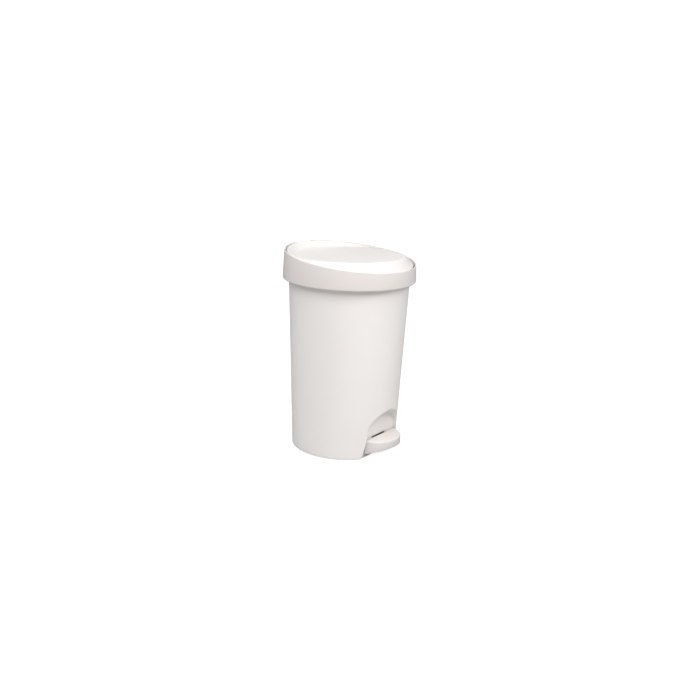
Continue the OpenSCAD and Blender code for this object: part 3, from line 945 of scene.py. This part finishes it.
@dataclass
class Hinge:
    """The lid's hinge at the back of the rim, in millimetres."""

    y: float = 131.0
    z: float = 413.5
    barrel_r: float = 4.19
    knuckle_half_w: float = 14.0
    gap: float = 0.4
    lug_out: float = 22.0
    web_low_z: float = 404.8

    def build_lugs(self) -> bpy.types.Object:
        """Makes the collar's two lugs."""
        parts = []
        for side in (-1, 1):
            near, far = sorted((side * (self.knuckle_half_w + self.gap), side * self.lug_out))
            parts.append(x_barrel("lug", self.barrel_r, near, far, self.y, self.z, 0.6))
            web_low = (near + 0.1, self.y - 0.4, self.web_low_z)
            parts.append(block("web", web_low, (far - 0.1, self.y + 2.4, self.z), 0.8))
        return joined("collar_hinge_lugs", parts)

    def relieve(self, lid: bpy.types.Object) -> bpy.types.Object:
        """Cuts room for the collar's lugs out of the lid."""
        for side in (-1, 1):
            near, far = sorted((side * self.knuckle_half_w, side * (self.lug_out + 2 * self.gap)))
            room = self.barrel_r + self.gap
            subtract(lid, x_barrel("cutter", room, near, far, self.y, self.z, 0.1))
        return lid

    def build_knuckle(self) -> bpy.types.Object:
        """Makes the lid's knuckle and the arm that carries it."""
        half = self.knuckle_half_w
        barrel = x_barrel("knuckle", self.barrel_r, -half, half, self.y, self.z, 0.6)
        arm_low = (-half + 0.1, self.y - 5, self.z - 3)
        arm = block("arm", arm_low, (half - 0.1, self.y, self.z + 2.6), 0.8)
        return joined("lid_hinge_knuckle", [barrel, arm])


# ---- Lid -----------------------------------------------------------------------------


@dataclass
class Lid:
    """The dished lid with its raised front, in millimetres."""

    rim: Rim
    radius: float = 129.2
    drop: float = 0.5
    plateau_z: float = 406.3
    plateau_tilt: float = 0.012
    plateau_r: float = 112.8
    skirt_h: float = 9.0
    wall: float = 2.4

    def section(self, angle: float) -> np.ndarray:
        """The lid's section at an angle, from the top centre over the skirt to the centre below."""
        edge = self.rim.z(self.radius * math.sin(angle)) - self.drop
        crease = self.plateau_z - self.plateau_tilt * self.plateau_r * math.sin(angle)
        inner_r = self.radius - self.wall + 0.2
        half = self.plateau_r * 0.5
        half_z = self.plateau_z - self.plateau_tilt * half * math.sin(angle)
        return rounded(
            [
                Corner(0, self.plateau_z),
                Corner(half, half_z, 5, 2),
                Corner(self.plateau_r, crease, 11.0, 12),
                Corner(self.radius - 1.4, edge + 0.05, 2.2, 6),
                Corner(self.radius, edge - 1.3, 1.0, 4),
                Corner(self.radius, edge - self.skirt_h, 0.8, 3),
                Corner(inner_r, edge - self.skirt_h, 0.8, 3),
                Corner(inner_r, edge - self.wall - 0.6, 1.2, 4),
                Corner(self.plateau_r - 0.4, crease - self.wall, 11.0, 8),
                Corner(half, half_z - self.wall, 5, 2),
                Corner(0, self.plateau_z - self.wall),
            ],
            closed=False,
        )

    def build(self) -> bpy.types.Object:
        """Makes the lid's shell."""
        return turned("lid_dish", self.section, even_angles(288))


# ---- Tread ---------------------------------------------------------------------------


@dataclass
class Tread:
    """The D-shaped foot tread, in millimetres."""

    half_w: float = 51.0
    side_y: float = -95.0
    back_y: float = -91.5
    nose: float = 38.0
    top_z: float = 40.0
    back_low_z: float = 10.5
    nose_low_z: float = 23.0
    skin: float = 2.6
    corner_r: float = 2.4
    lever_half_w: float = 20.0
    lever_top_z: float = 29.0

    def outline(self, grow: float) -> np.ndarray:
        """The tread's outline, grown outwards by a distance."""
        half, nose = self.half_w + grow, self.nose + grow
        radius = max(self.corner_r + grow, 0.3)
        back = self.back_y + grow
        back_corners = [Corner(-half, back, radius, 6), Corner(half, back, radius, 6)]
        ends = Corner(-half, self.side_y), Corner(half, self.side_y)
        corners = rounded([ends[0], *back_corners, ends[1]], closed=False)
        nose_points = [
            (half * math.cos(a), self.side_y + nose * math.sin(a))
            for a in np.linspace(0, -math.pi, 90)[1:-1]
        ]
        return np.vstack([corners, np.array(nose_points)])

    def low_z(self, y: float) -> float:
        """Height of the skirt's lower edge, which rises towards the nose."""
        share = (self.back_y - y) / (self.back_y - self.side_y + self.nose)
        return self.back_low_z + (self.nose_low_z - self.back_low_z) * share

    def build(self) -> bpy.types.Object:
        """Makes the tread as a hollow cap with rounded edges and a slanting lower edge."""
        skin = self.skin
        low = self.back_low_z
        edge = rounded(
            [
                Corner(-skin, self.top_z - skin - 3),
                Corner(-skin, low, 0.8, 3),
                Corner(0.0, low, 0.8, 3),
                Corner(-0.35, self.top_z - 0.25, 2.2, 8),
                Corner(-6, self.top_z - 0.12),
            ],
            closed=False,
        )
        fixed_z = self.top_z - 9
        rings = []
        for grow, z in edge:
            ring = self.outline(grow)
            stretch = min(1.0, max(0.0, (fixed_z - z) / (fixed_z - low)))
            heights = [z + (self.low_z(y) - low) * stretch for y in ring[:, 1]]
            rings.append(np.column_stack([ring, heights]))
        centre = np.array([0.0, self.side_y - self.nose * 0.4])
        last, inner = self.outline(-6), self.outline(-skin)
        for f in (0.75, 0.5, 0.25, 0.0):
            ring = centre + (last - centre) * f
            rings.append(np.column_stack([ring, np.full(len(ring), self.top_z - 0.12 * f)]))
        under = []
        for f in (0.0, 0.5, 1.0):
            ring = centre + (inner - centre) * f
            under.append(np.column_stack([ring, np.full(len(ring), self.top_z - skin)]))
        bm = bmesh.new()
        add_grid(bm, np.array(under + rings), cap=True)
        cap = finish_mesh("tread_cap", bm)
        half = self.lever_half_w + 1
        cut(cap, (-half, self.back_y - 6, 0), (half, self.back_y + 2, self.lever_top_z + 1.5))
        return soften(cap, 0.3, angle=60)


# ---- Bucket --------------------------------------------------------------------------


@dataclass
class Bucket:
    """The lift-out bucket with its rolled rim, in millimetres."""

    centre_y: float = -3.0
    foot_r: float = 80.0
    top_r: float = 104.0
    rim_r: float = 109.0
    foot_z: float = 47.0
    top_z: float = 350.0
    wall: float = 2.0

    def section(self, _angle: float) -> np.ndarray:
        """The bucket's section, from the inside centre over the rim to the centre below."""
        floor = self.foot_z + 1.5
        step_r = self.foot_r + (self.top_r - self.foot_r) * 0.8
        step_z = self.foot_z + (self.top_z - self.foot_z) * 0.8
        return rounded(
            [
                Corner(0, floor + self.wall),
                Corner(self.foot_r - self.wall, floor + self.wall, 6, 6),
                Corner(step_r - self.wall - 0.6, step_z, 2, 3),
                Corner(step_r - self.wall + 0.6, step_z + 1.5, 2, 3),
                Corner(self.top_r - self.wall, self.top_z, 2.2, 6),
                Corner(self.rim_r, self.top_z, 2.4, 8),
                Corner(self.rim_r, self.top_z - 9, 0.9, 4),
                Corner(self.rim_r - self.wall, self.top_z - 9, 0.9, 4),
                Corner(self.rim_r - self.wall, self.top_z - self.wall, 1.2, 4),
                Corner(self.top_r, self.top_z - self.wall, 1.2, 4),
                Corner(step_r + 0.3, step_z + 1.5, 2, 3),
                Corner(step_r - 0.3, step_z, 2, 3),
                Corner(self.foot_r, self.foot_z, 2.5, 6),
                Corner(self.foot_r - 7, self.foot_z, 0.7, 3),
                Corner(self.foot_r - 8, floor, 0.7, 3),
                Corner(0, floor),
            ],
            closed=False,
        )

    def build(self) -> bpy.types.Object:
        """Makes the bucket."""
        bucket = turned("bucket_shell", self.section, even_angles(180))
        bucket.data.transform(Matrix.Translation((0, self.centre_y * MM, 0)))
        return bucket


# ---- Works ---------------------------------------------------------------------------


@dataclass(frozen=True)
class WorksPiece:
    """A small CAD node that is shown with softened edges."""

    node: str
    finish: Finishes
    body: str
    width_mm: float


class Works:
    """The lever, base, guides, studs and other small pieces."""

    SOFTENED = (
        WorksPiece("base_plate", Finishes.GREY, "bin", 0.5),
        WorksPiece("rubber_feet", Finishes.RUBBER, "bin", 0.6),
        WorksPiece("lever_stop_pad", Finishes.RUBBER, "bin", 0.4),
        WorksPiece("rod_guide_lower", Finishes.NYLON, "bin", 0.3),
        WorksPiece("rod_guide_upper", Finishes.NYLON, "bin", 0.3),
        WorksPiece("lid_bumpers", Finishes.STUD, "bin", 0.5),
        WorksPiece("hinge_pin_caps", Finishes.LID, "bin", 0.35),
        WorksPiece("lever_arm", Finishes.GREY, "pedal", 0.6),
        WorksPiece("crank_bracket", Finishes.GREY, "lid", 0.35),
    )
    REPAINTED = {
        "collar_screws": Finishes.STEEL,
        "base_screws": Finishes.STEEL,
        "lever_pin": Finishes.STEEL,
        "lever_pin_clips": Finishes.SPRING,
        "hinge_pin": Finishes.STEEL,
        "tread_screws": Finishes.STEEL,
        "lift_rod": Finishes.STEEL,
        "rod_clips": Finishes.SPRING,
        "crank_screws": Finishes.STEEL,
    }

    def build(self, shop: Workshop) -> None:
        """Makes and dresses the small pieces."""
        for part in self.SOFTENED:
            shop.dress(softened_copy(part.node, part.width_mm), part.finish, part.body, [part.node])
        for node, finish in self.REPAINTED.items():
            shop.repaint(node, finish)


# ---- Studio --------------------------------------------------------------------------


@dataclass(frozen=True)
class Softbox:
    """A square area light that looks at the bin, placed by angles in degrees and a distance."""

    name: str
    azimuth: float
    elevation: float
    distance: float
    size: float
    power: float
    colour: Colour = (1.0, 1.0, 1.0)

    def build(self, target: Vector) -> None:
        """Makes the light."""
        data = bpy.data.lights.new(self.name, "AREA")
        data.shape = "SQUARE"
        data.size = self.size
        data.energy = self.power
        data.color = self.colour
        light = link(bpy.data.objects.new(self.name, data))
        a, e = math.radians(self.azimuth), math.radians(self.elevation)
        out = Vector((math.sin(a) * math.cos(e), -math.cos(a) * math.cos(e), math.sin(e)))
        light.location = target + out * self.distance
        light.rotation_euler = out.to_track_quat("Z", "Y").to_euler()


@dataclass
class Studio:
    """The floor, lights and camera."""

    look_at: Vector
    distance: float = 1.836
    azimuth: float = math.radians(-54.08)
    elevation: float = math.radians(15.23)
    roll: float = math.radians(2.2)
    lens: float = 45.07
    world_light: float = 0.28
    backdrop_light: float = 1.05
    floor_glow: float = 0.9

    def directions(self) -> tuple[Vector, Vector, Vector]:
        """The camera's right, up and backward directions."""
        a, e = self.azimuth, self.elevation
        back = Vector((math.sin(a) * math.cos(e), -math.cos(a) * math.cos(e), math.sin(e)))
        right = Vector((math.cos(a), math.sin(a), 0))
        up = back.cross(right)
        turned_right = right * math.cos(self.roll) + up * math.sin(self.roll)
        turned_up = up * math.cos(self.roll) - right * math.sin(self.roll)
        return turned_right, turned_up, back

    def build_camera(self) -> None:
        """Makes the camera."""
        right, up, back = self.directions()
        data = bpy.data.cameras.new("camera")
        data.lens = self.lens
        data.sensor_width = 36
        data.clip_end = 50
        camera = link(bpy.data.objects.new("camera", data))
        spin = Matrix((right, up, back)).transposed().to_4x4()
        camera.matrix_world = Matrix.Translation(self.look_at + back * self.distance) @ spin
        bpy.context.scene.camera = camera

    def build_lights(self) -> None:
        """Makes the softboxes and the even light of the room."""
        for box in (
            Softbox("key", -60, 50, 2.6, 1.8, 48.0, (1.0, 0.99, 0.98)),
            Softbox("left", -140, 45, 2.6, 2.0, 16.0, (1.0, 0.99, 0.98)),
            Softbox("right", 8, 38, 2.6, 1.0, 25.0, (1.0, 0.99, 0.98)),
            Softbox("top", 130, 78, 2.6, 1.8, 10.0),
        ):
            box.build(Vector((0, 0, 0.22)))
        world = bpy.data.worlds.new("room")
        world.use_nodes = True
        background = world.node_tree.nodes["Background"]
        background.inputs["Color"].default_value = (1, 1, 1, 1)
        tree = Tree(world.node_tree)
        seen = tree.add("ShaderNodeLightPath").outputs["Is Camera Ray"]
        extra = tree.math("MULTIPLY", seen, self.backdrop_light - self.world_light)
        tree.join(tree.math("ADD", extra, self.world_light), background.inputs["Strength"])
        bpy.context.scene.world = world

    def build_floor(self) -> None:
        """Makes the plain pale floor."""
        bm = bmesh.new()
        bmesh.ops.create_grid(bm, x_segments=1, y_segments=1, size=9000)
        floor = finish_mesh("floor", bm)
        material, tree, shader = shader_of("pale_floor")
        shader.inputs["Base Color"].default_value = (0.48, 0.48, 0.48, 1)
        shader.inputs["Roughness"].default_value = 0.6
        shader.inputs["Emission Color"].default_value = (1, 1, 1, 1)
        seen = tree.add("ShaderNodeLightPath").outputs["Is Camera Ray"]
        tree.join(tree.math("MULTIPLY", seen, self.floor_glow), shader.inputs["Emission Strength"])
        floor.data.materials.append(material)

    def build(self) -> None:
        """Makes the whole studio."""
        self.build_camera()
        self.build_lights()
        self.build_floor()
        bpy.context.scene.view_settings.view_transform = "Standard"


def main() -> None:
    """Builds the bin's pieces in order, then the studio."""
    logging.basicConfig(level=logging.INFO, format="%(message)s")
    shop = Workshop()
    rim = Rim()
    tub = OuterBody()
    hinge = Hinge()
    shop.dress(tub.build(), Finishes.BODY, "bin", ["outer_body"])
    shop.dress(tub.build_floor(), Finishes.BODY, "bin", ["outer_body"])
    shop.dress(Collar(rim).build(), Finishes.COLLAR, "bin", ["collar"])
    shop.dress(hinge.build_lugs(), Finishes.COLLAR, "bin", ["collar"])
    shop.dress(hinge.relieve(Lid(rim).build()), Finishes.LID, "lid", ["lid_shell"])
    shop.dress(hinge.build_knuckle(), Finishes.LID, "lid", ["lid_shell"])
    shop.dress(Tread().build(), Finishes.TREAD, "pedal", ["pedal_tread"])
    shop.dress(Bucket().build(), Finishes.BUCKET, "bucket", ["inner_bucket"])
    Works().build(shop)
    Studio(look_at=Vector((0.004, -0.0055, 0.2043))).build()


if __name__ == "__main__":
    main()
